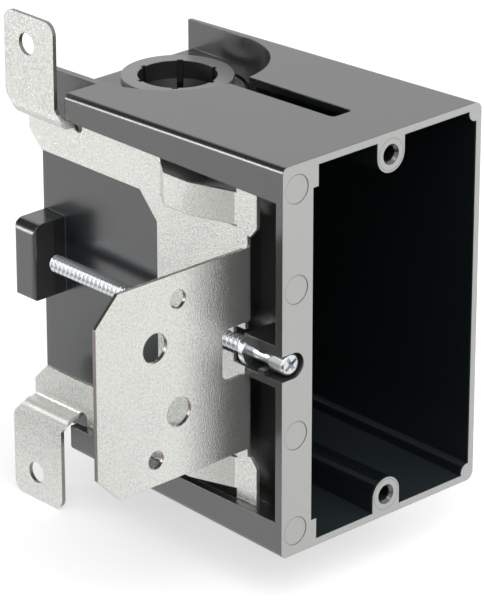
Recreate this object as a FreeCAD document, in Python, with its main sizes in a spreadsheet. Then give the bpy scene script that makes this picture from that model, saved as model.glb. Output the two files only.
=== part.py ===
import FreeCAD, Part
import os
import re
import Sketcher
from FreeCAD import Placement, Rotation, Vector

# New work outlet box: a moulded one gang box for a steel or wooden stud. A folded bracket slides along
# the side of the box and a captive screw moves it, so that the box sits flush with the wall board.
# Millimetres. X runs across the opening, away from the stud, Y into the depth and Z upwards.
# The origin is midway between the two device screws, in the plane of the front face.

doc = FreeCAD.newDocument("NewWorkOutletBox")

sizes = {
    # outer form of the box; its height follows from the device it holds
    "box_depth": 92.0,
    "device_spacing": 83.34,
    "face_margin": 5.33,
    "rear_draft": 2.8,
    "face_right": 28.7,
    "right_draft": 2.65,
    "stud_edge_round": 1.5,
    "far_edge_round": 2.0,
    # opening and walls
    "opening_left": 23.8,
    "side_wall": 1.6,
    "rear_side_wall": 2.0,
    "top_wall": 1.72,
    "rear_top_wall": 2.0,
    "left_wall_lean": 2.4,
    "stud_space": 7.6,
    "face_plate": 2.07,
    "rear_wall": 2.0,
    "corner_rib_radius": 2.05,
    "corner_rib_inset": 1.8,
    "corner_rib_drop": 2.23,
    # bosses for the device screws, and the round marks on the face
    "boss_radius": 4.25,
    "device_bore_radius": 1.7,
    "device_mouth_radius": 2.45,
    "device_bore_depth": 22.0,
    "upper_boss_length": 13.0,
    "mark_radius": 3.38,
    "mark_depth": 0.15,
    "mark_inset": 4.3,
    "mark_inner": 17.6,
    "mark_margin": 5.8,
    # rails for the bracket
    "rail_setback": 20.0,
    "rail_depth": 8.6,
    "rail_lip": 2.0,
    "guide_depth": 6.8,
    "rail_top": 4.1,
    # recess at the rear of the top, its deck and the slot ahead of it
    "deck_drop": 7.0,
    "deck_wall": 2.0,
    "deck_rim_round": 1.8,
    "gate_wall": 2.75,
    "recess_length": 42.2,
    "top_slot_width": 6.2,
    "top_slot_gap": 3.2,
    "top_slot_round": 1.2,
    "flap_slit": 1.2,
    "flap_margin": 5.0,
    "flap_slit_start": 58.0,
    "flap_slit_sweep": 52.0,
    # trough for the screw, its saddle, and the lug behind the screw's point
    "trough_gap": 0.7,
    "trough_upper_wall": 2.0,
    "trough_lower_wall": 1.8,
    "saddle_length": 1.8,
    "lug_inset": 0.8,
    "lug_length": 7.1,
    "lug_upper": 8.9,
    "lug_lower": 10.1,
    "lug_upper_round": 2.8,
    "lug_round": 0.9,
    # adjusting screw and its clearances
    "screw_inset": 3.5,
    "screw_drop": 0.4,
    "head_start": 0.8,
    "head_length": 4.6,
    "head_radius": 2.7,
    "head_gap": 0.4,
    "head_play": 0.3,
    "head_dome": 0.8,
    "shank_radius": 1.85,
    "saddle_fit": 0.1,
    "collar_play": 0.4,
    "collar_length": 1.6,
    "collar_radius": 3.8,
    "collar_gap": 0.7,
    "thread_radius": 2.1,
    "thread_fit": 0.05,
    "point_gap": 2.8,
    "point_chamfer": 0.7,
    "driver_slot": 0.75,
    "driver_reach": 1.75,
    "driver_depth": 1.7,
    # folded bracket: web, arms in the rails
    "sheet_metal": 1.0,
    "slide_gap": 0.4,
    "board_setback": 12.7,
    "ear_advance": 2.0,
    "ear_chamfer": 2.4,
    "web_length": 30.75,
    "arm_width": 10.9,
    "arm_flare": 5.8,
    "arm_splay": 6.2,
    "arm_setback": 4.5,
    "arm_chamfer": 4.2,
    "rail_part_gap": 3.2,
    "relief_width": 2.7,
    "relief_drop": 3.2,
    # flange against the front of the stud
    "flange_length": 45.3,
    "flange_inset": 3.1,
    "flange_chamfer": 6.5,
    "bend_inside": 0.7,
    "nail_hole_radius": 3.5,
    "nail_hole_height": 8.65,
    "screw_hole_radius": 2.23,
    "screw_hole_margin": 6.2,
    "near_hole_reach": 21.4,
    "far_hole_reach": 28.3,
    # openings in the bracket round the screw, and the straps that follow its thread
    "cutout_length": 8.5,
    "cutout_upper_gap": 2.1,
    "cutout_lower_gap": 0.5,
    "cutout_chamfer": 1.5,
    "window_travel": 4.2,
    "passage_gap": 0.5,
    "strap_gap": 3.8,
    "strap_length": 3.0,
    "strap_pitch": 3.5,
    "strap_wall": 1.0,
    # tabs for the side of the stud
    "shelf_gap": 1.2,
    "joggle_inside": 0.9,
    "tab_inset": 0.8,
    "tab_width": 17.2,
    "tab_reach": 14.2,
    "tab_round": 3.0,
    "tab_neck": 3.4,
    "tab_hole_radius": 2.68,
    "tab_hole_inset": 7.9,
    "tab_hole_drop": 7.0,
    # bridges that stand out to the side of the stud
    "bridge_margin": 0.8,
    "bridge_lip_gap": 2.4,
    "bridge_slit": 0.3,
    "bridge_window": 1.0,
    "bridge_start": 4.5,
    "bridge_ramp": 11.6,
    "bridge_flat": 8.2,
    "bridge_rise": 5.2,
    "bridge_bend": 2.6,
    # cable connector in the deck
    "connector_offset": 6.0,
    "connector_gap": 1.5,
    "connector_barrel": 10.7,
    "barrel_wall": 1.2,
    "rim_width": 2.7,
    "connector_rim": 0.9,
    "connector_length": 9.2,
    "connector_fit": 0.15,
    "snap_bead": 0.6,
    "grip_start": 3.6,
    "grip_radius": 6.2,
    "grip_wall": 1.1,
    "grip_root": 0.9,
    "grip_slit": 1.5,
    "grip_notch": 0.7,
    "grip_count": 6,
    "grip_turn": 44.0,
}

# distances that follow from the sizes
derived = {
    "face_height": "device_spacing + face_margin * 2",
    "rear_height": "face_height - rear_draft * 2",
    "opening_height": "face_height - top_wall * 2",
    "cavity_rear_height": "rear_height - rear_top_wall * 2",
    "rear_right": "face_right - right_draft",
    "left_outer": "opening_left + side_wall",
    "left_outer_rear": "left_outer - left_wall_lean",
    "stud_side": "left_outer + stud_space",
    "cavity_end": "box_depth - rear_wall",
    "boss_height": "device_spacing / 2",
    "mark_side": "stud_side - mark_inset",
    "mark_outer": "face_height / 2 - mark_margin",
    "rail_length": "box_depth - rail_setback",
    "rail_edge": "face_height / 2 - rail_depth",
    "guide_edge": "face_height / 2 - guide_depth",
    "channel_edge": "face_height / 2 - rail_top",
    "lip_inner": "stud_side - rail_lip",
    "deck_level": "rear_height / 2 - deck_drop",
    "recess_left": "left_outer_rear - side_wall",
    "recess_right": "rear_right - gate_wall",
    "recess_centre": "(recess_right - recess_left) / 2",
    "recess_radius": "(recess_right + recess_left) / 2",
    "recess_front": "box_depth - recess_length",
    "recess_arc_place": "recess_front + recess_radius",
    "top_slot_front": "upper_boss_length + top_slot_gap",
    "flap_slit_radius": "recess_radius - flap_margin",
    "screw_level": "-screw_drop",
    "screw_side": "stud_side - screw_inset",
    "trough_length": "board_setback - trough_gap",
    "trough_radius": "head_radius + head_gap",
    "trough_upper": "trough_radius + trough_upper_wall",
    "trough_lower": "trough_radius + trough_lower_wall",
    "saddle_start": "head_start + head_length + head_play",
    "collar_start": "trough_length + collar_play",
    "lug_front": "box_depth - lug_inset - lug_length",
    "screw_end": "lug_front - point_gap",
    "bracket_outer": "lip_inner - slide_gap",
    "bracket_inner": "bracket_outer - sheet_metal",
    "guide_side": "bracket_inner - slide_gap",
    "bracket_edge": "channel_edge - slide_gap",
    "stud_plane": "stud_side + slide_gap + sheet_metal",
    "bracket_front": "board_setback - ear_advance",
    "web_rear": "board_setback + web_length",
    "arm_inner": "rail_edge - arm_width",
    "web_half": "arm_inner - arm_splay",
    "ear_start": "arm_inner - bend_inside",
    "arm_rear": "box_depth - arm_setback",
    "rail_part_end": "rail_length - rail_part_gap",
    "relief_root": "rail_edge - relief_drop",
    "flange_half": "arm_inner - flange_inset",
    "flange_reach": "bracket_outer + flange_length",
    "screw_hole_height": "flange_half - screw_hole_margin",
    "near_hole": "bracket_outer + near_hole_reach",
    "far_hole": "bracket_outer + far_hole_reach",
    "cutout_reach": "bracket_outer + cutout_length",
    "cutout_upper": "screw_level + trough_upper + cutout_upper_gap",
    "cutout_lower": "trough_lower - screw_level + cutout_lower_gap",
    "window_half": "collar_radius + collar_gap",
    "window_end": "collar_start + collar_length + window_travel",
    "passage_half": "thread_radius + passage_gap",
    "strap_start": "window_end + strap_gap",
    "thread_clear": "thread_radius + thread_fit",
    "strap_outer": "thread_clear + strap_wall",
    "bend_outside": "bend_inside + sheet_metal",
    "joggle_outside": "joggle_inside + sheet_metal",
    "shelf_top": "rail_edge - shelf_gap",
    "shelf_under": "shelf_top - sheet_metal",
    "tab_rear": "box_depth - tab_inset",
    "tab_front": "tab_rear - tab_width",
    "tab_height": "face_height / 2 + tab_reach",
    "tab_hole_depth": "tab_rear - tab_hole_inset",
    "tab_hole_height": "tab_height - tab_hole_drop",
    "bridge_inner": "arm_inner + bridge_margin",
    "bridge_outer": "rail_edge - bridge_lip_gap",
    "bridge_cut": "rail_edge + bridge_window",
    "bridge_front": "board_setback + bridge_start",
    "bridge_flat_front": "bridge_front + bridge_ramp",
    "bridge_flat_rear": "bridge_flat_front + bridge_flat",
    "bridge_rear": "bridge_flat_rear + bridge_rise",
    "bridge_height": "stud_plane - bracket_outer",
    "ramp_fold": "sheet_metal * tan(atan(bridge_height / bridge_ramp) / 2)",
    "rise_fold": "sheet_metal * tan(atan(bridge_height / bridge_rise) / 2)",
    "connector_side": "recess_centre + connector_offset",
    "connector_place": "cavity_end - connector_gap - connector_barrel",
    "connector_bore": "connector_barrel - barrel_wall",
    "connector_flange": "connector_barrel + rim_width",
    "bead_start": "deck_wall + connector_fit",
    "bead_end": "bead_start + snap_bead * 2",
}

sheet = doc.addObject("Spreadsheet::Sheet", "Sizes")
for row, (alias, number) in enumerate(sizes.items(), start=1):
    sheet.set(f"A{row}", alias)
    sheet.set(f"B{row}", str(number))
    sheet.setAlias(f"B{row}", alias)
doc.recompute()

# how far a cutter passes the surface that it opens: into free space, and past a thin sheet
beyond = 5.0
past = 1.0


def bound(formula):
    """The formula with every size named in the sheet."""
    def spell_out(found):
        name = found.group()
        return f"({bound(derived[name])})" if name in derived else "Sizes." + name

    return re.sub(r"[a-z]+(?:_[a-z]+)+", spell_out, str(formula))


def number_of(formula):
    """What the formula gives now."""
    return float(sheet.evalExpression(bound(formula)))


def tie(thing, **formulas):
    """Binds properties of an object to formulas; x, y and z are its place."""
    for name, formula in formulas.items():
        path = f".Placement.Base.{name}" if name in ("x", "y", "z") else name
        thing.setExpression(path, bound(formula))
        if path == name:
            setattr(thing, name, number_of(formula))
    return thing


def draw(sketch, corners):
    """Closes straight sides through corners whose two distances are formulas."""
    spots = [Vector(number_of(u), number_of(v), 0) for u, v in corners]
    count = len(spots)
    for index in range(count):
        sketch.addGeometry(Part.LineSegment(spots[index], spots[(index + 1) % count]), False)
    for index in range(count):
        sketch.addConstraint(Sketcher.Constraint("Coincident", index, 2, (index + 1) % count, 1))
    for index, (u, v) in enumerate(corners):
        for kind, formula, now in (("DistanceX", u, spots[index].x), ("DistanceY", v, spots[index].y)):
            place = sketch.addConstraint(Sketcher.Constraint(kind, -1, 1, index, 1, now))
            sketch.setExpression(f"Constraints[{place}]", bound(formula))
    return sketch


# each plane gives the sketch's turn, the axis it is drawn out along and that axis's letter
planes = {
    "XY": (Rotation(), Vector(0, 0, 1), "z"),
    "XZ": (Rotation(Vector(1, 0, 0), 90), Vector(0, 1, 0), "y"),
    "YZ": (Rotation(Vector(1, 1, 1), 120), Vector(1, 0, 0), "x"),
}


def prism(name, plane, corners, start, length):
    """Draws an outline on a plane at its start and extends it along the axis by a length."""
    turn, along, letter = planes[plane]
    sketch = doc.addObject("Sketcher::SketchObject", name + "Outline")
    sketch.Placement = Placement(along * number_of(start), turn)
    tie(sketch, **{letter: start})
    draw(sketch, corners)
    block = doc.addObject("Part::Extrusion", name)
    block.Base = sketch
    block.DirMode = "Custom"
    block.Dir = along
    block.Solid = True
    return tie(block, LengthFwd=length)


def rectangle(low_u, low_v, high_u, high_v):
    return [(low_u, low_v), (high_u, low_v), (high_u, high_v), (low_u, high_v)]


axis_turns = {
    "X": Rotation(Vector(0, 1, 0), 90),
    "Y": Rotation(Vector(1, 0, 0), -90),
    "Z": Rotation(),
}


def rod(name, axis, radius, length, x, y, z):
    """A cylinder from a point along an axis."""
    piece = doc.addObject("Part::Cylinder", name)
    piece.Placement = Placement(Vector(number_of(x), number_of(y), number_of(z)), axis_turns[axis])
    return tie(piece, Radius=radius, Height=length, x=x, y=y, z=z)


def fuse(name, *pieces):
    whole = doc.addObject("Part::MultiFuse", name)
    whole.Shapes = list(pieces)
    whole.Refine = True
    return whole


def common(name, *pieces):
    shared = doc.addObject("Part::MultiCommon", name)
    shared.Shapes = list(pieces)
    return shared


def cut(name, base, tool):
    remainder = doc.addObject("Part::Cut", name)
    remainder.Base = base
    remainder.Tool = tool
    remainder.Refine = True
    return remainder


def mirrored(name, piece):
    """The same piece below the middle plane."""
    copy = doc.addObject("Part::Mirroring", name)
    copy.Source = piece
    copy.Normal = Vector(0, 0, 1)
    return copy


def near(first, second, reach=0.02):
    return abs(first - second) < reach


# Moulded box. The top and bottom draw in towards the rear, and so does the side away from the stud
side_form = prism(
    "SideForm", "YZ",
    [("0", "-face_height / 2"), ("box_depth", "-rear_height / 2"),
     ("box_depth", "rear_height / 2"), ("0", "face_height / 2")],
    "-stud_side", "stud_side + face_right",
)
plan_form = prism(
    "PlanForm", "XY",
    [("-stud_side", "0"), ("face_right", "0"), ("rear_right", "box_depth"), ("-stud_side", "box_depth")],
    "-face_height / 2", "face_height",
)
raw_form = common("RawForm", side_form, plan_form)


def on_stud_edge(point):
    return near(point.x, -number_of("stud_side"))


doc.recompute()
long_edges = []
for index, edge in enumerate(raw_form.Shape.Edges, start=1):
    first, last = (vertex.Point for vertex in edge.Vertexes)
    if abs(first.y - last.y) < 1.0:
        continue
    amount = number_of("stud_edge_round") if on_stud_edge(first) else number_of("far_edge_round")
    long_edges.append((index, amount, amount))
box_form = doc.addObject("Part::Fillet", "BoxForm")
box_form.Base = raw_form
box_form.Edges = long_edges

# walls round the cavity, which is open at the front
wall_block = prism(
    "WallBlock", "XY",
    [("-left_outer", "0"), ("face_right", "0"), ("rear_right", "box_depth"),
     ("-left_outer_rear", "box_depth")],
    "-face_height / 2", "face_height",
)
cavity_plan = prism(
    "CavityPlan", "XY",
    [("-opening_left", f"-{beyond}"), ("face_right - side_wall", f"-{beyond}"),
     ("face_right - side_wall", "0"), ("rear_right - rear_side_wall", "cavity_end"),
     ("-(left_outer_rear - side_wall)", "cavity_end"), ("-opening_left", "0")],
    "-face_height / 2", "face_height",
)
cavity_side = prism(
    "CavitySide", "YZ",
    [(f"-{beyond}", "-opening_height / 2"), ("0", "-opening_height / 2"),
     ("cavity_end", "-cavity_rear_height / 2"), ("cavity_end", "cavity_rear_height / 2"),
     ("0", "opening_height / 2"), (f"-{beyond}", "opening_height / 2")],
    "-stud_side", "stud_side + face_right",
)
cavity = common("Cavity", cavity_plan, cavity_side)
walls = cut("Walls", wall_block, cavity)

# ribs in the two corners away from the stud follow the draft of the walls
ribs = []
for name, side in (("UpperCornerRib", "+1"), ("LowerCornerRib", "-1")):
    across = "face_right - corner_rib_inset"
    upward = f"{side} * (face_height / 2 - corner_rib_drop)"
    rib = rod(name, "Y", "corner_rib_radius", f"box_depth + {beyond}", across, "-corner_rib_radius", upward)
    lean = Vector(-number_of("right_draft"), number_of("box_depth"), -number_of(f"{side} * rear_draft"))
    rib.Placement.Rotation = Rotation(Vector(0, 0, 1), lean)
    ribs.append(rib)

# plate of the face towards the stud, with the rails behind it at the top and the bottom
face_plate = prism(
    "FacePlate", "XZ", rectangle("-stud_side", "-face_height / 2", "-opening_left - side_wall / 2",
                                 "face_height / 2"), "0", "face_plate",
)
upper_rail = prism(
    "UpperRail", "XZ",
    [("-stud_side", "rail_edge"), ("-lip_inner", "rail_edge"), ("-lip_inner", "channel_edge"),
     ("-guide_side", "channel_edge"), ("-guide_side", "guide_edge"),
     ("-left_outer_rear + side_wall / 2", "guide_edge"),
     ("-left_outer_rear + side_wall / 2", "face_height / 2"), ("-stud_side", "face_height / 2")],
    "0", "rail_length",
)
lower_rail = mirrored("LowerRail", upper_rail)

# bosses of the device screws: the upper one is short, the lower one runs to the rear wall
bosses = []
for name, side, length in (("UpperBoss", "+1", "upper_boss_length"), ("LowerBoss", "-1", "cavity_end")):
    bosses.append(rod(name + "End", "Y", "boss_radius", length, "0", "0", f"{side} * boss_height"))
    low = "boss_height" if side == "+1" else "-face_height / 2"
    high = "face_height / 2" if side == "+1" else "-boss_height"
    stem = rectangle("-boss_radius", low, "boss_radius", high)
    bosses.append(prism(name + "Stem", "XZ", stem, "0", length))

# deck of the recess at the rear of the top, with an apron round its front
def recess_shape(name, extra, low, high):
    """A block with straight sides open to the rear and a round front."""
    reach = f"(recess_radius + {extra})"
    round_end = rod(name + "Round", "Z", reach, f"{high} - {low}", "recess_centre", "recess_arc_place", low)
    straight = prism(
        name + "Straight", "XY",
        rectangle(f"recess_centre - {reach}", "recess_arc_place", f"recess_centre + {reach}",
                  f"box_depth + {extra}"),
        low, f"{high} - {low}",
    )
    return fuse(name, round_end, straight)


deck_block = recess_shape("DeckBlock", "deck_wall", "(deck_level - deck_wall)", "(face_height / 2)")

# trough of the screw and the lug behind its point
trough = prism(
    "Trough", "XZ",
    rectangle("-stud_side", "screw_level - trough_lower", "-left_outer + side_wall / 2",
              "screw_level + trough_upper"), "0", "trough_length",
)
lug_block = prism(
    "LugBlock", "XZ",
    rectangle("-stud_side", "screw_level - lug_lower", "-left_outer_rear + side_wall / 2",
              "screw_level + lug_upper"), "lug_front", "lug_length",
)
doc.recompute()
lug_edges = []
for index, edge in enumerate(lug_block.Shape.Edges, start=1):
    middle = edge.CenterOfMass
    if not near(middle.x, -number_of("stud_side")):
        continue
    upper = near(middle.z, number_of("screw_level + lug_upper"))
    amount = number_of("lug_upper_round" if upper else "lug_round")
    lug_edges.append((index, amount, amount))
lug = doc.addObject("Part::Fillet", "Lug")
lug.Base = lug_block
lug.Edges = lug_edges

material = fuse("Material", walls, *ribs, face_plate, upper_rail, lower_rail, *bosses, deck_block,
                trough, lug)
moulding = common("Moulding", material, box_form)

# what is taken away: bores, marks, recess, slot, groove of the screw
tools = []
for name, side in (("Upper", "+1"), ("Lower", "-1")):
    level = f"{side} * boss_height"
    tools.append(rod(name + "DeviceBore", "Y", "device_bore_radius", "device_bore_depth", "0", "0",
                     level))
    mouth = doc.addObject("Part::Cone", name + "DeviceMouth")
    mouth.Placement = Placement(Vector(0, 0, number_of(level)), axis_turns["Y"])
    tools.append(tie(mouth, Radius1="device_mouth_radius", Radius2="device_bore_radius",
                     Height="device_mouth_radius - device_bore_radius", z=level))
    for row, height in (("Inner", "mark_inner"), ("Outer", "mark_outer")):
        tools.append(rod(f"{name}{row}Mark", "Y", "mark_radius", "mark_depth", "-mark_side", "0",
                         f"{side} * {height}"))

recess = recess_shape("Recess", "0", "deck_level", "(face_height / 2)")
rear_gate = prism(
    "RearGate", "XY",
    rectangle("recess_centre - recess_radius", "recess_arc_place", "recess_centre + recess_radius",
              f"box_depth + {beyond}"), "deck_level", "face_height / 2",
)
top_slot_block = prism(
    "TopSlotBlock", "XY",
    rectangle("recess_centre - top_slot_width / 2", "top_slot_front",
              "recess_centre + top_slot_width / 2", "recess_front + deck_wall"),
    "deck_level", "face_height / 2",
)
doc.recompute()
slot_edges = []
for index, edge in enumerate(top_slot_block.Shape.Edges, start=1):
    middle = edge.CenterOfMass
    upright = near(edge.Vertexes[0].Point.x, edge.Vertexes[1].Point.x)
    if upright and near(middle.y, number_of("top_slot_front")):
        amount = number_of("top_slot_round")
        slot_edges.append((index, amount, amount))
top_slot = doc.addObject("Part::Fillet", "TopSlot")
top_slot.Base = top_slot_block
top_slot.Edges = slot_edges

connector_hole = rod(
    "ConnectorHole", "Z", "connector_barrel + connector_fit", f"deck_wall + {beyond} * 2",
    "connector_side", "connector_place", f"deck_level - deck_wall - {beyond}",
)
slit_outer = rod("SlitOuter", "Z", "flap_slit_radius + flap_slit / 2", f"deck_wall + {past} * 2",
                 "recess_centre", "recess_arc_place", f"deck_level - deck_wall - {past}")
slit_outer.Placement.Rotation = Rotation(Vector(0, 0, 1), -number_of("flap_slit_start"))
tie(slit_outer, Angle="flap_slit_sweep")
slit_inner = rod("SlitInner", "Z", "flap_slit_radius - flap_slit / 2", f"deck_wall + {beyond} * 2",
                 "recess_centre", "recess_arc_place", f"deck_level - deck_wall - {beyond}")
flap_slit = cut("FlapSlit", slit_outer, slit_inner)


def groove(name, radius, start, length):
    """A U shaped groove about the screw, open towards the stud."""
    bottom = rod(name + "Bottom", "Y", radius, length, "-screw_side", start, "screw_level")
    mouth = prism(
        name + "Mouth", "XZ",
        rectangle(f"-stud_side - {beyond}", f"screw_level - {radius}", "-screw_side",
                  f"screw_level + {radius}"), start, length,
    )
    return fuse(name, bottom, mouth)


front_groove = groove("FrontGroove", "trough_radius", f"-{beyond}", f"saddle_start + {beyond}")
rear_groove = groove("RearGroove", "trough_radius", "saddle_start + saddle_length", "trough_length")
saddle_groove = groove("SaddleGroove", "(shank_radius + saddle_fit)", f"saddle_start - {past}",
                       f"saddle_length + {past} * 2")

taken = fuse("Taken", *tools, recess, rear_gate, top_slot, connector_hole, flap_slit, front_groove,
             rear_groove, saddle_groove)
drilled = cut("Drilled", moulding, taken)

# the deck rolls over into the rear face
doc.recompute()
rim_edges = []
for index, edge in enumerate(drilled.Shape.Edges, start=1):
    middle = edge.CenterOfMass
    if near(middle.y, number_of("box_depth")) and near(middle.z, number_of("deck_level")):
        amount = number_of("deck_rim_round")
        rim_edges.append((index, amount, amount))
box_shell = doc.addObject("Part::Fillet", "BoxShell")
box_shell.Base = drilled
box_shell.Edges = rim_edges
box_shell.Label = "box_shell"


# folded bracket
def both_halves(upper):
    """The outline of the upper half, then the same below the middle in reverse."""
    lower = [(u, f"-({v})") for u, v in reversed(upper)]
    return upper + lower


web = prism(
    "Web", "YZ",
    both_halves([
        ("board_setback + sheet_metal", "ear_start"),
        ("board_setback", "ear_start"),
        ("bracket_front", "ear_start + ear_chamfer"),
        ("bracket_front", "bracket_edge"),
        ("rail_part_end", "bracket_edge"),
        ("rail_part_end", "relief_root + relief_width / 2"),
        ("rail_part_end + relief_width", "relief_root + relief_width / 2"),
        ("rail_part_end + relief_width", "shelf_under - joggle_inside"),
        ("arm_rear", "shelf_under - joggle_inside"),
        ("arm_rear", "arm_inner + arm_chamfer"),
        ("arm_rear - arm_chamfer", "arm_inner"),
        ("web_rear + arm_flare", "arm_inner"),
        ("web_rear", "web_half"),
    ]),
    "-bracket_outer", "sheet_metal",
)
fold = prism(
    "Fold", "XY",
    [("-bracket_inner", "board_setback"), ("-bracket_inner", f"board_setback + bend_outside + {past}"),
     ("-bracket_outer", f"board_setback + bend_outside + {past}"),
     ("-bracket_outer", "board_setback + sheet_metal"),
     ("-flange_reach", "board_setback + sheet_metal"), ("-flange_reach", "board_setback")],
    "-flange_half", "flange_half * 2",
)
doc.recompute()
fold_edges = []
for index, edge in enumerate(fold.Shape.Edges, start=1):
    middle = edge.CenterOfMass
    upright = near(edge.Vertexes[0].Point.x, edge.Vertexes[1].Point.x) and near(middle.z, 0)
    turns = (
        ("bracket_inner", "board_setback", "bend_outside"),
        ("bracket_outer", "board_setback + sheet_metal", "bend_inside"),
    )
    for side, depth, amount in turns:
        if upright and near(middle.x, -number_of(side)) and near(middle.y, number_of(depth)):
            fold_edges.append((index, number_of(amount), number_of(amount)))
bent_fold = doc.addObject("Part::Fillet", "BentFold")
bent_fold.Base = fold
bent_fold.Edges = fold_edges

doc.recompute()
corner_edges = []
for index, edge in enumerate(bent_fold.Shape.Edges, start=1):
    middle = edge.CenterOfMass
    across = near(middle.y, number_of("board_setback + sheet_metal / 2"))
    if across and near(middle.x, -number_of("flange_reach")):
        amount = number_of("flange_chamfer")
        corner_edges.append((index, amount, amount))
flange = doc.addObject("Part::Chamfer", "Flange")
flange.Base = bent_fold
flange.Edges = corner_edges

# tab for the side of the stud: the arm steps out under the rail's lip and turns up beside it
tab_strip = prism(
    "TabStrip", "XZ",
    [("-bracket_outer", "relief_root - sheet_metal"), ("-bracket_outer", "shelf_under"),
     ("-stud_plane", "shelf_under"), ("-stud_plane", "tab_height"),
     ("-stud_plane + sheet_metal", "tab_height"), ("-stud_plane + sheet_metal", "shelf_top"),
     ("-bracket_inner", "shelf_top"), ("-bracket_inner", "relief_root - sheet_metal")],
    "rail_part_end + relief_width", "tab_rear - rail_part_end - relief_width",
)
doc.recompute()
tab_edges = []
for index, edge in enumerate(tab_strip.Shape.Edges, start=1):
    middle = edge.CenterOfMass
    if near(edge.Vertexes[0].Point.y, edge.Vertexes[1].Point.y):
        continue
    inside = number_of("joggle_inside")
    outside = number_of("joggle_outside")
    turns = [
        (-number_of("bracket_outer"), number_of("shelf_under"), inside),
        (-number_of("stud_plane"), number_of("shelf_under"), outside),
        (-number_of("stud_plane - sheet_metal"), number_of("shelf_top"), inside),
        (-number_of("bracket_inner"), number_of("shelf_top"), outside),
    ]
    for turn_x, turn_z, amount in turns:
        if near(middle.x, turn_x) and near(middle.z, turn_z):
            tab_edges.append((index, amount, amount))
bent_tab = doc.addObject("Part::Fillet", "BentTab")
bent_tab.Base = tab_strip
bent_tab.Edges = tab_edges

tab_outline = prism(
    "TabOutline", "YZ",
    [("rail_part_end + relief_width", "relief_root - sheet_metal"),
     ("rail_part_end + relief_width", "shelf_top + sheet_metal / 2"),
     ("tab_front", "shelf_top + tab_neck"), ("tab_front", "tab_height"), ("tab_rear", "tab_height"),
     ("tab_rear", "shelf_top + tab_neck"), ("arm_rear", "shelf_under + sheet_metal / 2"),
     ("arm_rear", "relief_root - sheet_metal")],
    f"-stud_plane - {past}", f"stud_plane - bracket_inner + {past} * 2",
)
doc.recompute()
outline_edges = []
for index, edge in enumerate(tab_outline.Shape.Edges, start=1):
    middle = edge.CenterOfMass
    if near(middle.z, number_of("tab_height")) and edge.Length < number_of("stud_plane"):
        if not near(edge.Vertexes[0].Point.x, edge.Vertexes[1].Point.x):
            outline_edges.append((index, number_of("tab_round"), number_of("tab_round")))
    if near(middle.z, number_of("shelf_top + tab_neck")) and near(middle.y, number_of("tab_rear")):
        outline_edges.append((index, number_of("tab_round"), number_of("tab_round")))
round_outline = doc.addObject("Part::Fillet", "RoundOutline")
round_outline.Base = tab_outline
round_outline.Edges = outline_edges
upper_tab = common("UpperTab", bent_tab, round_outline)
lower_tab = mirrored("LowerTab", upper_tab)

# bridge: a strip cut free on both sides and drawn out to the plane of the stud
bridge_bar = prism(
    "BridgeBar", "XY",
    [("-bracket_outer", "bridge_front - sheet_metal"), ("-bracket_outer", "bridge_front"),
     ("-stud_plane", "bridge_flat_front"), ("-stud_plane", "bridge_flat_rear"),
     ("-bracket_outer", "bridge_rear"), ("-bracket_outer", "bridge_rear + sheet_metal"),
     ("-bracket_inner", "bridge_rear + sheet_metal"), ("-bracket_inner", "bridge_rear - rise_fold"),
     ("-stud_plane + sheet_metal", "bridge_flat_rear - rise_fold"),
     ("-stud_plane + sheet_metal", "bridge_flat_front + ramp_fold"),
     ("-bracket_inner", "bridge_front + ramp_fold"),
     ("-bracket_inner", "bridge_front - sheet_metal")],
    "bridge_inner", "bridge_outer - bridge_inner",
)
doc.recompute()
bridge_edges = []
for index, edge in enumerate(bridge_bar.Shape.Edges, start=1):
    middle = edge.CenterOfMass
    if near(edge.Vertexes[0].Point.z, edge.Vertexes[1].Point.z):
        continue
    if near(middle.x, -number_of("stud_plane")):
        bridge_edges.append((index, number_of("bridge_bend"), number_of("bridge_bend")))
    if near(middle.x, -number_of("stud_plane - sheet_metal")):
        amount = number_of("bridge_bend - sheet_metal")
        bridge_edges.append((index, amount, amount))
    foot = near(middle.y, number_of("bridge_front")) or near(middle.y, number_of("bridge_rear"))
    if foot and near(middle.x, -number_of("bracket_outer")):
        bridge_edges.append((index, number_of("bridge_bend"), number_of("bridge_bend")))
upper_bridge = doc.addObject("Part::Fillet", "UpperBridge")
upper_bridge.Base = bridge_bar
upper_bridge.Edges = bridge_edges
lower_bridge = mirrored("LowerBridge", upper_bridge)

bridge_opening = prism(
    "BridgeOpening", "YZ",
    rectangle("bridge_front", "bridge_inner - bridge_slit", "bridge_rear", "bridge_cut"),
    f"-bracket_outer - {past}", f"sheet_metal + {past} * 2",
)
lower_bridge_opening = mirrored("LowerBridgeOpening", bridge_opening)
relief = rod("Relief", "X", "relief_width / 2", f"sheet_metal + {past} * 2", f"-bracket_outer - {past}",
             "rail_part_end + relief_width / 2", "relief_root + relief_width / 2")
lower_relief = mirrored("LowerRelief", relief)

# the screw passes through the plane of the web, so the web is open along it
window = prism(
    "Window", "YZ",
    rectangle(f"board_setback - {past}", "screw_level - window_half", "window_end",
              "screw_level + window_half"),
    f"-bracket_outer - {past}", f"sheet_metal + {past} * 2",
)
passage = prism(
    "Passage", "YZ",
    rectangle(f"window_end - {past}", "screw_level - passage_half", f"web_rear + {past}",
              "screw_level + passage_half"),
    f"-bracket_outer - {past}", f"sheet_metal + {past} * 2",
)
cutout = prism(
    "Cutout", "XZ",
    [(f"-bracket_inner + {past}", "-cutout_lower"), ("-cutout_reach + cutout_chamfer", "-cutout_lower"),
     ("-cutout_reach", "-cutout_lower + cutout_chamfer"), ("-cutout_reach", "cutout_upper - cutout_chamfer"),
     ("-cutout_reach + cutout_chamfer", "cutout_upper"), (f"-bracket_inner + {past}", "cutout_upper")],
    f"board_setback - {past}", f"bend_outside + {past}",
)
flange_holes = []
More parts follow.
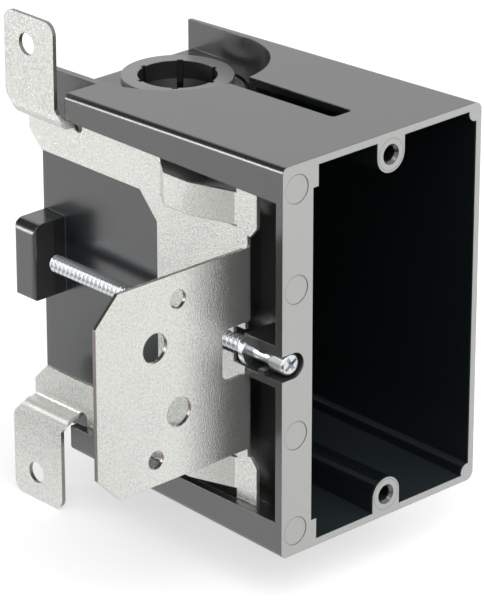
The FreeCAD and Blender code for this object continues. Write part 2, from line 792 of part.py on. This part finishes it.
for name, radius, reach, level in (
    ("UpperNailHole", "nail_hole_radius", "far_hole", "nail_hole_height"),
    ("LowerNailHole", "nail_hole_radius", "near_hole", "-nail_hole_height"),
    ("UpperScrewHole", "screw_hole_radius", "near_hole", "screw_hole_height"),
    ("LowerScrewHole", "screw_hole_radius", "far_hole", "-screw_hole_height"),
):
    flange_holes.append(rod(name, "Y", radius, f"sheet_metal + {past} * 2", f"-{reach}",
                            f"board_setback - {past}", level))
tab_hole = rod("TabHole", "X", "tab_hole_radius", f"sheet_metal + {past} * 2", f"-stud_plane - {past}",
               "tab_hole_depth", "tab_hole_height")
lower_tab_hole = mirrored("LowerTabHole", tab_hole)

# straps of the web loop round the screw, outwards, inwards and outwards, and follow its thread
straps = []
for index in range(3):
    name = f"Strap{index + 1}"
    outward = index % 2 == 0
    start = f"(strap_start + {index} * strap_pitch)"
    ring = rod(name + "Ring", "Y", "strap_outer", "strap_length", "-screw_side", start, "screw_level")
    bore = rod(name + "Bore", "Y", "thread_clear", f"strap_length + {past} * 2", "-screw_side",
               f"{start} - {past}", "screw_level")
    hoop = cut(name + "Hoop", ring, bore)
    low_x = "-screw_side - strap_outer" if outward else "-screw_side"
    high_x = "-screw_side" if outward else "-screw_side + strap_outer"
    half = prism(name + "Half", "XZ",
                 rectangle(low_x, "screw_level - strap_outer", high_x, "screw_level + strap_outer"),
                 start, "strap_length")
    straps.append(common(name, hoop, half))
    if outward:
        continue
    for side in ("+1", "-1"):
        inner = f"screw_level + {side} * thread_clear"
        outer = f"screw_level + {side} * strap_outer"
        low, high = (inner, outer) if side == "+1" else (outer, inner)
        leg = "UpperLeg" if side == "+1" else "LowerLeg"
        straps.append(prism(name + leg, "XZ", rectangle("-bracket_outer", low, "-screw_side", high),
                            start, "strap_length"))

plates = fuse("Plates", web, flange)
openings = fuse("Openings", bridge_opening, lower_bridge_opening, relief, lower_relief, window, passage,
                cutout, *flange_holes)
open_plates = cut("OpenPlates", plates, openings)
tabs = cut("Tabs", fuse("BothTabs", upper_tab, lower_tab), fuse("TabHoles", tab_hole, lower_tab_hole))
bracket = fuse("Bracket", open_plates, tabs, upper_bridge, lower_bridge, *straps)
bracket.Label = "mounting_bracket"


# bodies turned about an axis
def origin_plane(body, role):
    return next(item for item in body.Origin.OriginFeatures if item.Role == role)


def body_sketch(body, name, role, corners):
    """A straight sided sketch on one of the body's own planes."""
    sketch = body.newObject("Sketcher::SketchObject", name)
    sketch.AttachmentSupport = (origin_plane(body, role), "")
    sketch.MapMode = "FlatFace"
    draw(sketch, corners)
    doc.recompute()
    return sketch


def turned(body, name, sketch):
    turn = body.newObject("PartDesign::Revolution", name)
    turn.Profile = sketch
    turn.ReferenceAxis = (sketch, ["V_Axis"])
    turn.Angle = 360.0
    doc.recompute()
    return turn


# captive screw: head in the trough, neck in the saddle, collar behind the trough, then the thread
screw = doc.addObject("PartDesign::Body", "AdjustingScrew")
screw.Label = "adjusting_screw"
screw_profile = body_sketch(screw, "ScrewProfile", "XY_Plane", [
    ("0", "head_start"), ("head_radius - head_dome", "head_start"),
    ("head_radius", "head_start + head_dome"), ("head_radius", "head_start + head_length"),
    ("shank_radius", "head_start + head_length"),
    ("shank_radius", "collar_start"), ("collar_radius", "collar_start"),
    ("collar_radius", "collar_start + collar_length"), ("thread_radius", "collar_start + collar_length"),
    ("thread_radius", "screw_end - point_chamfer"), ("thread_radius - point_chamfer", "screw_end"),
    ("0", "screw_end"),
])
turned(screw, "ScrewTurn", screw_profile)
solid_volume = screw.Shape.Volume
driver_sketch = body_sketch(screw, "DriverSlot", "XZ_Plane", rectangle(
    "-driver_reach", "-driver_slot / 2", "driver_reach", "driver_slot / 2"))
driver = screw.newObject("PartDesign::Pocket", "DriverRecess")
driver.Profile = driver_sketch
driver.Length = number_of("head_start + driver_depth")
driver.setExpression("Length", bound("head_start + driver_depth"))
doc.recompute()
cross = screw.newObject("PartDesign::PolarPattern", "DriverCross")
cross.Originals = [driver]
cross.Axis = (driver_sketch, ["N_Axis"])
cross.Angle = 90.0
cross.Occurrences = 2
screw.Tip = cross
doc.recompute()
if screw.Shape.Volume > solid_volume - 1.0:
    raise ValueError("the driver recess cuts nothing")
screw.Placement = Placement(Vector(-number_of("screw_side"), 0, number_of("screw_level")), Rotation())
tie(screw, x="-screw_side", z="screw_level")

# round connector: a rim on the deck, a barrel through it and sprung fingers that grip the cable
connector = doc.addObject("PartDesign::Body", "CableConnector")
connector.Label = "cable_connector"
connector_profile = body_sketch(connector, "ConnectorProfile", "XZ_Plane", [
    ("connector_barrel", "0"), ("connector_flange", "0"), ("connector_flange", "connector_rim"),
    ("connector_bore", "connector_rim"), ("connector_bore", "-grip_start"),
    ("grip_radius", "-connector_length"), ("grip_radius + grip_wall", "-connector_length"),
    ("connector_barrel", "-bead_end - grip_root"), ("connector_barrel", "-bead_end"),
    ("connector_barrel + snap_bead", "-bead_start - snap_bead / 2"), ("connector_barrel", "-bead_start"),
])
turned(connector, "ConnectorTurn", connector_profile)
whole_volume = connector.Shape.Volume
slit_sketch = body_sketch(connector, "GripSlit", "XY_Plane", rectangle(
    "0", "-grip_slit / 2", "connector_bore + grip_notch", "grip_slit / 2"))
slit = connector.newObject("PartDesign::Pocket", "Slit")
slit.Profile = slit_sketch
slit.Type = "ThroughAll"
slit.Midplane = True
doc.recompute()
slits = connector.newObject("PartDesign::PolarPattern", "Slits")
slits.Originals = [slit]
slits.Axis = (slit_sketch, ["N_Axis"])
slits.Angle = 360.0
slits.Occurrences = int(number_of("grip_count"))
connector.Tip = slits
doc.recompute()
if connector.Shape.Volume > whole_volume - 1.0:
    raise ValueError("the slits cut nothing")
connector.Placement = Placement(
    Vector(number_of("connector_side"), number_of("connector_place"), number_of("deck_level")),
    Rotation(Vector(0, 0, 1), number_of("grip_turn")),
)
tie(connector, x="connector_side", y="connector_place", z="deck_level")

# every piece is checked before it is written
doc.recompute()
for thing in doc.Objects:
    if "Invalid" in thing.State or "Error" in thing.State:
        raise RuntimeError(f"{thing.Name} failed: {thing.State}")

os.makedirs("parts", exist_ok=True)
for piece in (box_shell, bracket, screw, connector):
    shape = piece.Shape
    if shape.isNull() or not shape.isValid() or len(shape.Solids) != 1:
        raise RuntimeError(f"{piece.Label} isn't one sound solid: {len(shape.Solids)}")
    shape.exportStep(f"parts/{piece.Label}.step")
    box = shape.BoundBox
    print(f"{piece.Label}: {shape.Volume:.1f} mm3, X {box.XMin:.2f} {box.XMax:.2f}, "
          f"Y {box.YMin:.2f} {box.YMax:.2f}, Z {box.ZMin:.2f} {box.ZMax:.2f}")
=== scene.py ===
import bpy, bmesh, math
from mathutils import Matrix, Vector


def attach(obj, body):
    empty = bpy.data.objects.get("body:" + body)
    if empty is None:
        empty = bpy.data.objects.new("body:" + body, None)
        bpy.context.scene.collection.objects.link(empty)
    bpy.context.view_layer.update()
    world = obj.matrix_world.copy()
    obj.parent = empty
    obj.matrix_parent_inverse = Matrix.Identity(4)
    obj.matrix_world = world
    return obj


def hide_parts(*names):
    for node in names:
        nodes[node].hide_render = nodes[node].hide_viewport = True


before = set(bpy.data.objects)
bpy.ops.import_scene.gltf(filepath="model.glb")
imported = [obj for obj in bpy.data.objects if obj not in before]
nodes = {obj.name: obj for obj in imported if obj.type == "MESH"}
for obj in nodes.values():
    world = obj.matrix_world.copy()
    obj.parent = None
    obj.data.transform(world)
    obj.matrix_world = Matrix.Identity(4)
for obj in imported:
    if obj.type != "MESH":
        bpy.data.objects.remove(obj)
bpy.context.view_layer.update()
mm = 0.001  # the frame is in metres
print("frame loaded:", ", ".join(sorted(nodes)))


# A socket that takes part in sums and comparisons: each adds one Math node
class Signal:
    def __init__(self, graph, socket):
        self.graph = graph
        self.socket = socket

    def maths(self, operation, other=0.0, swapped=False):
        first, second = (other, self) if swapped else (self, other)
        return self.graph.node("ShaderNodeMath", {"operation": operation}, {0: first, 1: second})

    def __add__(self, other):
        return self.maths("ADD", other)

    def __radd__(self, other):
        return self.maths("ADD", other, True)

    def __sub__(self, other):
        return self.maths("SUBTRACT", other)

    def __rsub__(self, other):
        return self.maths("SUBTRACT", other, True)

    def __mul__(self, other):
        return self.maths("MULTIPLY", other)

    def __rmul__(self, other):
        return self.maths("MULTIPLY", other, True)

    def __gt__(self, other):
        return self.maths("GREATER_THAN", other)

    def __lt__(self, other):
        return self.maths("LESS_THAN", other)

    def __abs__(self):
        return self.maths("ABSOLUTE")


# The node tree of a material or of the world
class Graph:
    def __init__(self, tree):
        self.tree = tree
        self.tree.nodes.clear()

    def node(self, kind, settings=None, inputs=None, output=0):
        made = self.tree.nodes.new(kind)
        for name, value in (settings or {}).items():
            setattr(made, name, value)
        for name, value in (inputs or {}).items():
            if isinstance(value, Signal):
                self.tree.links.new(value.socket, made.inputs[name])
            else:
                made.inputs[name].default_value = value
        return Signal(self, made.outputs[output]) if made.outputs else None

    def parts(self, vector):
        split = self.node("ShaderNodeSeparateXYZ", None, {0: vector}).socket.node
        return [Signal(self, socket) for socket in split.outputs]

    def spot(self):
        return self.node("ShaderNodeTexCoord", None, None, "Object")

    def place(self):
        return [part * 1000 for part in self.parts(self.spot())]  # millimetres

    def facing(self):
        return self.node("ShaderNodeTexCoord", None, None, "Normal")

    def noise(self, scale, detail=3.0, roughness=0.55):
        return self.node("ShaderNodeTexNoise", None, {
            "Vector": self.spot(), "Scale": scale, "Detail": detail, "Roughness": roughness})

    def either(self, first, second):
        return first.maths("MAXIMUM", second)

    def between(self, value, low, high):
        return (value > low) * (value < high)

    def blend(self, factor, first, second):
        return self.node("ShaderNodeMix", {"data_type": "RGBA"}, {0: factor, 6: first, 7: second}, 2)

    def brighten(self, colour, value):
        return self.node("ShaderNodeHueSaturation", None, {"Color": colour, "Value": value})

    def step(self, value, low, high):
        return self.node("ShaderNodeMapRange", {"interpolation_type": "SMOOTHSTEP"}, {
            "Value": value, "From Min": low, "From Max": high})

    def bump(self, height, distance, roundEdge):
        edge = self.node("ShaderNodeBevel", {"samples": 4}, {"Radius": roundEdge})
        return self.node("ShaderNodeBump", None, {"Height": height, "Distance": distance, "Normal": edge})

    def ray(self, kind):
        return self.node("ShaderNodeLightPath", None, None, kind)

    def glow(self, strength, kind="ShaderNodeEmission"):
        return self.node(kind, None, {"Color": (1, 1, 1, 1), "Strength": strength})

    def swap(self, factor, first, second):
        return self.node("ShaderNodeMixShader", None, {0: factor, 1: first, 2: second})

    def finish(self, shader, kind="ShaderNodeOutputMaterial"):
        self.node(kind, None, {"Surface": shader})


def tint(red, green, blue):
    return (red, green, blue, 1.0)


def newMaterial(name, describe):
    material = bpy.data.materials.new(name)
    material.use_nodes = True
    graph = Graph(material.node_tree)
    graph.finish(graph.node("ShaderNodeBsdfPrincipled", None, describe(graph)))
    return material


# Moulded plastic: dark and half glossy; the textured face is painted pale as a painted sheen, the inside is
# painted black as painted shade, and the cavity floor is painted lighter as painted light
boxLook = {
    # painted sheen: the face is the same dark plastic, painted pale for the glare of the front light on it
    "face": tint(0.41, 0.415, 0.40),
    "outside": tint(0.030, 0.029, 0.0285),
    # painted shade: the cavity and the slot's walls are the same plastic, painted near-black for the shade
    # inside
    "inside": tint(0.006, 0.009, 0.0105),
    # painted light: the cavity floor is painted lighter and bluer where it faces up, for the light it
    # catches
    "painted floor light": tint(0.024, 0.032, 0.036),
    "outside roughness": 0.20,
    "inside roughness": 0.22,
    "face roughness": 0.5,
    "specular": 0.9, "refraction": 1.7,
    "edge round": 0.35 * mm, "speckle depth": 0.004 * mm,
    "marks": ((-28.7, 17.6, 3.38), (-28.7, 41.2, 3.38), (0.0, 41.67, 3.75)),  # across, height, radius (mm)
    "mark line": 0.12, "mark shade": 0.38,
    "face turned": -0.85,  # the face looks forwards by more than this
    # where the finishes meet (mm), and how far the cavity's walls lean in for each mm of depth
    "face depth": 0.4,
    "cavity left": -24.6, "cavity right": 27.9, "cavity top": 46.1, "cavity depths": (0.5, 91.2),
    "left lean": 0.026, "right lean": 0.029, "top lean": 0.031, "cavity floor": -38.0,
    "deck level": 37.0, "deck front": 49.5,
    "slot middle": 0.95, "slot half": 3.4, "slot depths": (15.0, 52.5),
}


def mouldedBox(graph):
    look = boxLook
    x, y, z = graph.place()
    faceY, faceZ = graph.parts(graph.facing())[1:]
    speckle = graph.noise(1500.0, 3.0, 0.6)
    cloud = graph.noise(30.0, 2.0)
    height = abs(z)
    face = (faceY < look["face turned"]) * (y < look["face depth"])
    # the cavity lies inside the leaning walls; the deck at the top rear does not belong to it
    cavity = graph.between(y, *look["cavity depths"]) * ((x + look["left lean"] * y) > look["cavity left"])
    cavity = cavity * ((x + look["right lean"] * y) < look["cavity right"])
    cavity = cavity * ((height + look["top lean"] * y) < look["cavity top"])
    onDeck = (z > look["deck level"]) * (y > look["deck front"])
    slotWall = (abs(x - look["slot middle"]) < look["slot half"]) * (z > look["deck level"])
    slotWall = slotWall * graph.between(y, *look["slot depths"]) * (abs(faceZ) < 0.5)
    inside = graph.either(cavity * (1 - onDeck), slotWall)
    # where the cavity floor faces up: painted light
    floorLightPaint = inside * (z < look["cavity floor"]) * (faceZ > 0.7)
    # thin dark rings round the marks and the screw bosses on the face
    ring = 0
    for across, level, radius in look["marks"]:
        aside, above = x - across, height - level
        away = aside * aside + above * above - radius ** 2
        ring = ring + (abs(away) < 2 * radius * look["mark line"])
    # painted shade: the cavity and the slot's walls take the near-black inside colour
    colour = graph.blend(inside, look["outside"], look["inside"])
    colour = graph.blend(floorLightPaint, colour, look["painted floor light"])
    # painted sheen on the face
    colour = graph.blend(face, colour, look["face"])
    shade = (0.92 + 0.08 * cloud + 0.08 * speckle) * (1 - look["mark shade"] * ring * face)
    roughness = look["outside roughness"] + 0.05 * cloud
    roughness = roughness + inside * (look["inside roughness"] - look["outside roughness"])
    roughness = roughness + face * (look["face roughness"] - look["outside roughness"])
    return {
        "Base Color": graph.brighten(colour, shade), "Roughness": roughness,
        "Specular IOR Level": look["specular"], "IOR": look["refraction"],
        "Normal": graph.bump(speckle, look["speckle depth"], look["edge round"]),
    }


# Galvanised sheet: bright zinc with a fine grain that breaks up the reflections
sheetLook = {
    "pale": tint(0.81, 0.81, 0.765),
    "dull": tint(0.60, 0.62, 0.60),
    # painted shade on the pressed bridges
    "painted bridge shade": tint(0.34, 0.33, 0.31),
    # bare steel brown on the cut edges; the same colour paints the shadow line under the bridges (painted
    # shadow)
    "cut edge and slit shadow": tint(0.27, 0.235, 0.22),
    "metallic": 0.80, "shelf metallic": 0.20,
    "roughness": 0.20,
    "edge round": 0.25 * mm, "grain depth": 0.06 * mm,
    "edge turned": 0.35,  # a cut edge faces across the sheet by less than this
    # where the finishes meet (mm)
    "flange rear": 13.9, "flange side": -32.5,
    "tab height": 39.5, "tab front": 60.0,
    # the pressed bridges; their painted shade deepens from the first depth to the second (mm)
    "bridge side": -30.75, "bridge heights": (27.0, 37.5), "bridge rear": 44.0, "bridge shade depths": (36.0, 19.0),
    # the painted shadow line under each bridge (mm)
    "slit shadow side": -30.5, "slit shadow heights": (27.85, 28.4), "slit shadow depths": (17.0, 42.3),
    "shelf side": -30.8, "shelf heights": (35.4, 38.2), "shelf front": 71.0,
    "coarse grain": (-54.0, -43.0),
}


def galvanisedSheet(graph):
    look = sheetLook
    x, y, z = graph.place()
    faceX, faceY = graph.parts(graph.facing())[:2]
    height = abs(z)
    grain = graph.noise(2900.0, 2.0, 0.6)
    mottle = graph.noise(1900.0, 3.0, 0.6)
    cloud = graph.noise(110.0, 3.0)
    tab = height > look["tab height"]
    tabEdge = tab * (abs(faceX) < look["edge turned"]) * (y > look["tab front"])
    flangeEdge = (y < look["flange rear"]) * (abs(faceY) < look["edge turned"]) * (x < look["flange side"])
    # painted shade: the pressed bridges are painted darker towards the front, with a painted shadow line
    # under each where they were cut free
    bridge = graph.between(height, *look["bridge heights"]) * (x < look["bridge side"])
    bridge = bridge * (y < look["bridge rear"])
    # painted shadow: a thin dark line on the web just under each bridge's lower edge, where it was cut free
    slitShadow = graph.between(height, *look["slit shadow heights"]) * graph.between(y, *look["slit shadow depths"])
    # the shelf at the foot of each tab mirrors less
    shelf = graph.between(height, *look["shelf heights"]) * (y > look["shelf front"])
    shelf = shelf * (x < look["shelf side"])
    colour = graph.blend(graph.step(mottle + 0.3 * cloud, 0.50, 0.95), look["pale"], look["dull"])
    # painted shade on the bridges, darker towards the front
    colour = graph.blend(0.55 * bridge * graph.step(y, *look["bridge shade depths"]), colour, look["painted bridge shade"])
    # painted shadow line under the bridges
    colour = graph.blend(0.7 * slitShadow * (x < look["slit shadow side"]), colour, look["cut edge and slit shadow"])
    colour = graph.blend(graph.either(flangeEdge, tabEdge), colour, look["cut edge and slit shadow"])
    coarse = 0.7 + 1.1 * graph.step(x, *look["coarse grain"])  # the grain is stronger by the flange's fold
    return {
        # cloud varies the tone at random; the tabs are painted 6% darker, as painted shade
        "Base Color": graph.brighten(colour, 0.96 + 0.08 * cloud - 0.06 * tab),
        "Metallic": look["metallic"] + (look["shelf metallic"] - look["metallic"]) * shelf,
        "Roughness": look["roughness"] + 0.06 * mottle,
        "Normal": graph.bump(grain * coarse, look["grain depth"], look["edge round"]),
    }


# Bright zinc on the screw
zincLook = {
    "bright": tint(0.80, 0.83, 0.85),
    "stained": tint(0.60, 0.62, 0.63),
    "metallic": 0.95, "roughness": 0.20,
    "edge round": 0.1 * mm, "wear depth": 0.004 * mm,
}


def brightZinc(graph):
    look = zincLook
    wear = graph.noise(900.0, 4.0, 0.6)
    return {
        "Base Color": graph.blend(graph.step(wear, 0.50, 0.80), look["bright"], look["stained"]),
        "Metallic": look["metallic"], "Roughness": look["roughness"] + 0.10 * wear,
        "Normal": graph.bump(wear, look["wear depth"], look["edge round"]),
    }


# Cable connector: a grey rim, and everything below it painted black as painted shade in the bore and under
# the deck
connectorLook = {
    "rim": tint(0.24, 0.232, 0.228),
    # painted shade: the fingers and the barrel are the same plastic, painted near-black for the shade in the
    # bore and below the deck
    "fingers": tint(0.006, 0.0065, 0.007),
    "rim roughness": 0.30, "finger roughness": 0.60,
    "specular": 0.6,
    "edge round": 0.2 * mm, "speckle depth": 0.004 * mm,
    # middle of the bore, and where the rim's side and top begin (mm)
    "middle": (6.95, 77.8), "rim side": 12.5, "rim under": 37.15, "rim top": 37.95,
}


def connectorPlastic(graph):
    look = connectorLook
    x, y, z = graph.place()
    speckle = graph.noise(1500.0, 3.0)
    across, along = x - look["middle"][0], y - look["middle"][1]
    side = (z > look["rim under"]) * ((across * across + along * along) > look["rim side"] ** 2)
    rim = graph.either(z > look["rim top"], side)
    # painted shade below the rim
    colour = graph.blend(rim, look["fingers"], look["rim"])
    return {
        "Base Color": graph.brighten(colour, 0.94 + 0.12 * speckle),
        "Roughness": look["finger roughness"] + (look["rim roughness"] - look["finger roughness"]) * rim,
        "Specular IOR Level": look["specular"],
        "Normal": graph.bump(speckle, look["speckle depth"], look["edge round"]),
    }


def dress(name, material):
    for slot in nodes[name].material_slots:
        slot.material = material


zincFinish = newMaterial("brightZinc", brightZinc)
dress("box_shell", newMaterial("mouldedBox", mouldedBox))
dress("mounting_bracket", newMaterial("galvanisedSheet", galvanisedSheet))
dress("cable_connector", newMaterial("connectorPlastic", connectorPlastic))
print("finishes made")

# Adjusting screw with a cut thread and a cross recess, in the place of the plain one (mm)
screwShape = {
    "axis x": -29.5, "axis z": -0.4,
    "head start": 0.8, "head radius": 2.7, "head length": 4.6, "head dome": 0.8, "dome steps": 6,
    "neck radius": 1.85,
    "collar start": 12.4, "collar length": 1.6, "collar radius": 3.8, "collar round": 0.2,
    "thread end": 81.3, "crest": 2.1, "root": 1.48, "pitch": 1.41, "crest flat": 0.18, "flank": 0.55,
    "run out": 1.4, "least thread": 0.2, "point": 0.9, "point slope": 0.8, "overlap": 0.1,
    "sides": 40, "head sides": 48, "steps per turn": 12, "sharp angle": 42.0,
    "cross turn": 33.0, "cross reach": 2.15, "cross width": 0.85, "cross depth": 1.9, "cross taper": 0.45,
    "cross above": 0.5,
}


def circleOf(mesh, radius, along, sides):
    ring = []
    for index in range(sides):
        angle = 2 * math.pi * index / sides
        reach = radius(angle) if callable(radius) else radius
        ring.append(mesh.verts.new((reach * math.sin(angle), along, reach * math.cos(angle))))
    return ring


def skin(mesh, rings):
    for first, second in zip(rings, rings[1:]):
        for index in range(len(first)):
            after = (index + 1) % len(first)
            mesh.faces.new((first[index], second[index], second[after], first[after]))
    mesh.faces.new(rings[0])
    mesh.faces.new(rings[-1])


def makeObject(name, mesh, shape):
    bmesh.ops.recalc_face_normals(mesh, faces=mesh.faces)
    bmesh.ops.translate(mesh, verts=mesh.verts, vec=(shape["axis x"], 0, shape["axis z"]))
    bmesh.ops.scale(mesh, verts=mesh.verts, vec=(mm, mm, mm))
    data = bpy.data.meshes.new(name)
    mesh.to_mesh(data)
    mesh.free()
    piece = bpy.data.objects.new(name, data)
    bpy.context.scene.collection.objects.link(piece)
    return piece


def threadHeight(shape, share):
    away = abs((share + 0.5) % 1.0 - 0.5) * 2  # 0 on the crest, 1 at the root
    return 1 - max(0.0, min(1.0, (away - shape["crest flat"]) / shape["flank"]))


def threadMesh(shape):
    mesh = bmesh.new()
    start = shape["collar start"] + shape["collar length"] - shape["overlap"]
    length = shape["thread end"] - start
    steps = int(length / shape["pitch"] * shape["steps per turn"])
    rings = []
    for number in range(steps + 1):
        along = start + length * number / steps
        left = shape["thread end"] - along
        fade = min(1.0, (along - start) / shape["run out"], left / shape["run out"] + shape["least thread"])
        point = max(0.0, shape["point"] - left) * shape["point slope"]

        def radius(angle):
            height = threadHeight(shape, along / shape["pitch"] - angle / (2 * math.pi))
            return shape["root"] + (shape["crest"] - shape["root"]) * height * fade - point

        rings.append(circleOf(mesh, radius, along, shape["sides"]))
    skin(mesh, rings)
    return mesh


def headMesh(shape):
    mesh = bmesh.new()
    start, radius, dome = shape["head start"], shape["head radius"], shape["head dome"]
    headEnd, soft = start + shape["head length"], shape["collar round"]
    collar, collarEnd = shape["collar start"], shape["collar start"] + shape["collar length"]
    profile = []
    for step in range(shape["dome steps"] + 1):
        turn = math.pi / 2 * step / shape["dome steps"]
        profile.append((radius - dome + dome * math.sin(turn), start + dome * (1 - math.cos(turn))))
    profile += [
        (radius, headEnd - soft), (radius - soft, headEnd), (shape["neck radius"], headEnd),
        (shape["neck radius"], collar), (shape["collar radius"] - soft, collar),
        (shape["collar radius"], collar + soft), (shape["collar radius"], collarEnd - soft),
        (shape["collar radius"] - soft, collarEnd), (shape["root"], collarEnd),
    ]
    skin(mesh, [circleOf(mesh, reach, along, shape["head sides"]) for reach, along in profile])
    return mesh


def crossMesh(shape):
    mesh = bmesh.new()  # two wedges, shorter at the bottom of the recess
    top, bottom = shape["head start"] - shape["cross above"], shape["head start"] + shape["cross depth"]
    for quarter in range(2):
        turn = math.radians(shape["cross turn"] + 90 * quarter)
        corners = []
        for along, share in ((top, 1.0), (bottom, shape["cross taper"])):
            long, wide = shape["cross reach"] * share, shape["cross width"] / 2
            for u, v in ((-long, -wide), (long, -wide), (long, wide), (-long, wide)):
                across = u * math.cos(turn) - v * math.sin(turn)
                upward = u * math.sin(turn) + v * math.cos(turn)
                corners.append(mesh.verts.new((across, along, upward)))
        low, high = corners[:4], corners[4:]
        mesh.faces.new(low)
        mesh.faces.new(high)
        for index in range(4):
            after = (index + 1) % 4
            mesh.faces.new((low[index], low[after], high[after], high[index]))
    return mesh


def makeScrew(shape):
    thread = makeObject("screwThread", threadMesh(shape), shape)
    head = makeObject("screwHead", headMesh(shape), shape)
    cross = makeObject("screwCross", crossMesh(shape), shape)
    carve = head.modifiers.new("crossRecess", "BOOLEAN")
    carve.operation = "DIFFERENCE"
    carve.use_self = True
    carve.object = cross
    bpy.context.view_layer.update()
    carved = bpy.data.meshes.new_from_object(head.evaluated_get(bpy.context.evaluated_depsgraph_get()))
    head.modifiers.clear()
    head.data = carved
    bpy.data.objects.remove(cross)
    for piece in (thread, head):
        piece.data.materials.clear()
        piece.data.materials.append(zincFinish)
        piece.data.shade_smooth()
        piece.data.set_sharp_from_angle(angle=math.radians(shape["sharp angle"]))
        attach(piece, "screw")
    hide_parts("adjusting_screw")


makeScrew(screwShape)
print("screw made")

# Camera: the photograph's view, without its lens shift
viewpoint = {
    "focal length": 3902.0, "longer side": 600,  # pixels of the photograph
    "sensor": 36.0, "nearest": 0.01, "farthest": 20.0,
    "azimuth": -43.04, "elevation": 23.32, "roll": -0.04,
    "distance": 0.900, "target": (-7.65 * mm, 40.0 * mm, -3.6 * mm),
}


def placeCamera(view):
    data = bpy.data.cameras.new("camera")
    data.sensor_width = view["sensor"]
    data.lens = view["focal length"] * data.sensor_width / view["longer side"]
    data.clip_start = view["nearest"]
    data.clip_end = view["farthest"]
    azimuth, elevation, roll = (math.radians(view[key]) for key in ("azimuth", "elevation", "roll"))
    level = math.cos(elevation)
    back = Vector((math.sin(azimuth) * level, -math.cos(azimuth) * level, math.sin(elevation)))
    right = Vector((math.cos(azimuth), math.sin(azimuth), 0.0))
    up = back.cross(right)
    axes = (math.cos(roll) * right + math.sin(roll) * up, math.cos(roll) * up - math.sin(roll) * right, back)
    place = Matrix.Translation(Vector(view["target"]) + back * view["distance"])
    camera = bpy.data.objects.new("camera", data)
    camera.matrix_world = place @ Matrix(axes).transposed().to_4x4()
    bpy.context.scene.collection.objects.link(camera)
    bpy.context.scene.camera = camera


placeCamera(viewpoint)

# Studio: white paper and sky, and three soft lamps
studio = {
    "floor level": -61.3 * mm, "floor size": 6.0,
    "paper": tint(0.75, 0.75, 0.75),
    "paper glow": 0.52,
    "sky light": 0.5,
    "flag light": 0.02,  # a dark flag over the far left, seen only in reflections
    "flag towards": (-0.26, 0.66, 0.70), "flag edge": (0.84, 0.90),
    # dark cards on the floor, also seen only in reflections: place and the two ends of a soft edge
    "cards": (((-0.22, -0.19), (0.15, 0.26)), ((-0.106, 0.114), (0.026, 0.050))),
    "lamps towards": (0, 0.04, 0),
    "lamps": {
        "keyLamp": {"place": (-0.60, -0.80, 1.20), "size": 1.0, "power": 8.0, "mirrored": True},
        "frontLamp": {"place": (0.95, -0.95, 0.50), "size": 1.4, "power": 11.0, "mirrored": False},
        "rearLamp": {"place": (-1.05, 0.98, 0.20), "size": 0.35, "power": 3.5, "mirrored": True},
    },
}


def makeLamp(name, settings, target):
    data = bpy.data.lights.new(name, "AREA")
    data.size = settings["size"]
    data.energy = settings["power"]
    lamp = bpy.data.objects.new(name, data)
    lamp.visible_glossy = settings["mirrored"]
    lamp.location = settings["place"]
    aim = Vector(target) - lamp.location
    lamp.rotation_euler = aim.to_track_quat("-Z", "Y").to_euler()
    bpy.context.scene.collection.objects.link(lamp)


def makeSky(settings):
    world = bpy.data.worlds.new("studioSky")
    world.use_nodes = True
    graph = Graph(world.node_tree)
    kind = "ShaderNodeBackground"
    lens = graph.either(graph.ray("Is Camera Ray"), graph.ray("Is Transmission Ray"))
    glossy = graph.ray("Is Glossy Ray")
    light, white = graph.glow(settings["sky light"], kind), graph.glow(1.0, kind)
    sky = graph.swap(graph.either(lens, glossy), light, white)
    direction = graph.node("ShaderNodeTexCoord", None, None, "Generated")
    near = graph.node("ShaderNodeVectorMath", {"operation": "DOT_PRODUCT"}, {
        0: direction, 1: settings["flag towards"]}, "Value")
    flag = graph.step(near, *settings["flag edge"]) * glossy
    sky = graph.swap(flag, sky, graph.glow(settings["flag light"], kind))
    graph.finish(sky, "ShaderNodeOutputWorld")
    bpy.context.scene.world = world


def makeFloor(settings):
    half, level = settings["floor size"] / 2, settings["floor level"]
    corners = [(-half, -half, level), (half, -half, level), (half, half, level), (-half, half, level)]
    data = bpy.data.meshes.new("floor")
    data.from_pydata(corners, [], [(0, 1, 2, 3)])
    floor = bpy.data.objects.new("floor", data)
    bpy.context.scene.collection.objects.link(floor)
    paper = bpy.data.materials.new("floorPaper")
    paper.use_nodes = True
    graph = Graph(paper.node_tree)
    lens = graph.either(graph.ray("Is Camera Ray"), graph.ray("Is Transmission Ray"))
    plain = graph.node("ShaderNodeBsdfDiffuse", None, {"Color": settings["paper"]})
    lit = graph.node("ShaderNodeAddShader", None, {0: plain, 1: graph.glow(settings["paper glow"])})
    seen = graph.swap(lens, plain, lit)
    bright = 1.0
    for place, (inner, outer) in settings["cards"]:
        away = graph.node("ShaderNodeVectorMath", {"operation": "DISTANCE"}, {
            0: graph.spot(), 1: (*place, level)}, "Value")
        bright = graph.step(away, inner, outer) * bright
    graph.finish(graph.swap(graph.ray("Is Glossy Ray"), seen, graph.glow(bright)))
    data.materials.append(paper)


makeSky(studio)
makeFloor(studio)
for lampName, lampSettings in studio["lamps"].items():
    makeLamp(lampName, lampSettings, studio["lamps towards"])
bpy.context.scene.view_settings.view_transform = "Standard"
print("studio made")
